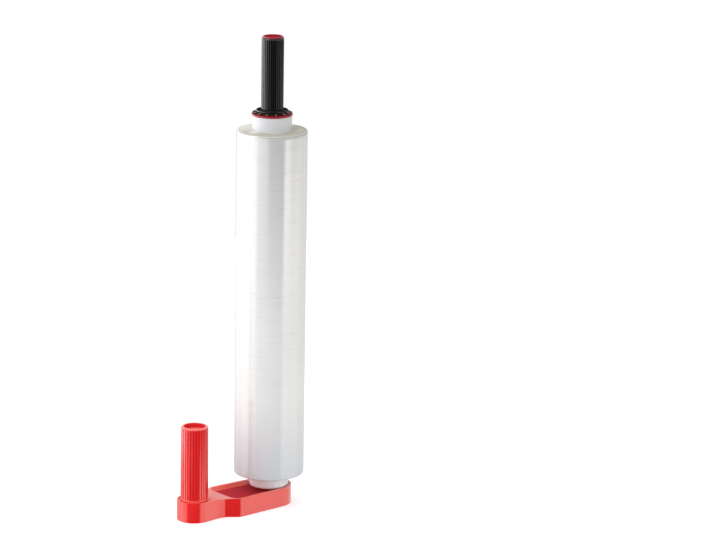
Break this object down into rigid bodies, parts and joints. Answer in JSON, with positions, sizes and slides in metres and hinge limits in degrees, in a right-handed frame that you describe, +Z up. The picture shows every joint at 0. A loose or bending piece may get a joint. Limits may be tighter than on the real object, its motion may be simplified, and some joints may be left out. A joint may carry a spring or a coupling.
{
  "type": "stretch wrap roll in a hand dispenser",
  "caption": "Roll of clear stretch film on a paper core, standing in a red hand dispenser with a fluted side grip on its arm and a black brake grip on top.",
  "frame": {"origin": "the roll's axis where it meets the flat underside of the arm", "axes": "+Z up along the spindle, -X along the arm towards the side grip"},
  "size_m": [0.2085, 0.1, 0.6778],
  "materials": {
    "red_plastic": "moulded, semi-gloss",
    "dark_red_plastic": "moulded, glossy",
    "black_plastic": "moulded, satin",
    "inner_plastic": "moulded",
    "white_plastic": "moulded, glossy",
    "core_paper": "white-faced spiral wound paper",
    "stretch_film": "clear film, glossy and milky in the roll",
    "zinc_steel": "zinc plated",
    "tube_steel": "bright drawn tube",
    "insert_brass": "turned",
    "fibre": "pressed fibre"
  },
  "bodies": {
    "dispenser": {"base_arm": "red_plastic", "side_grip": "red_plastic", "grip_screw": "zinc_steel", "grip_washer": "zinc_steel", "spindle_tube": "tube_steel", "tube_foot": "inner_plastic", "spindle_pin": "zinc_steel", "slide_washer": "white_plastic", "friction_ring": "fibre", "brake_star": "black_plastic", "tube_head": "inner_plastic", "thread_stud": "zinc_steel", "brake_spring": "zinc_steel", "stop_nut": "zinc_steel"},
    "roll": {"lower_hub": "white_plastic", "core_tube": "core_paper", "film_roll": "stretch_film", "core_plug": "dark_red_plastic"},
    "thrust": {"thrust_washer": "zinc_steel"},
    "grip": {"top_grip": "black_plastic", "grip_cap": "dark_red_plastic", "thread_insert": "insert_brass"}
  },
  "joints": [
    {"name": "roll_spin", "type": "hinge", "parent": "dispenser", "child": "roll", "pos_m": [0, 0, 0.3], "axis": [0, 0, 1], "continuous": true},
    {"name": "brake_feed", "type": "slide", "parent": "dispenser", "child": "thrust", "axis": [0, 0, 1], "range_m": [0, 0.002], "deforming": ["brake_spring"]},
    {"name": "brake_turn", "type": "hinge", "parent": "thrust", "child": "grip", "pos_m": [0, 0, 0.6], "axis": [0, 0, 1], "range_deg": [0, 360]}
  ],
  "couplings": [
    {"joint": "brake_feed", "follows": "brake_turn", "m_per_rad": 0.000318}
  ]
}
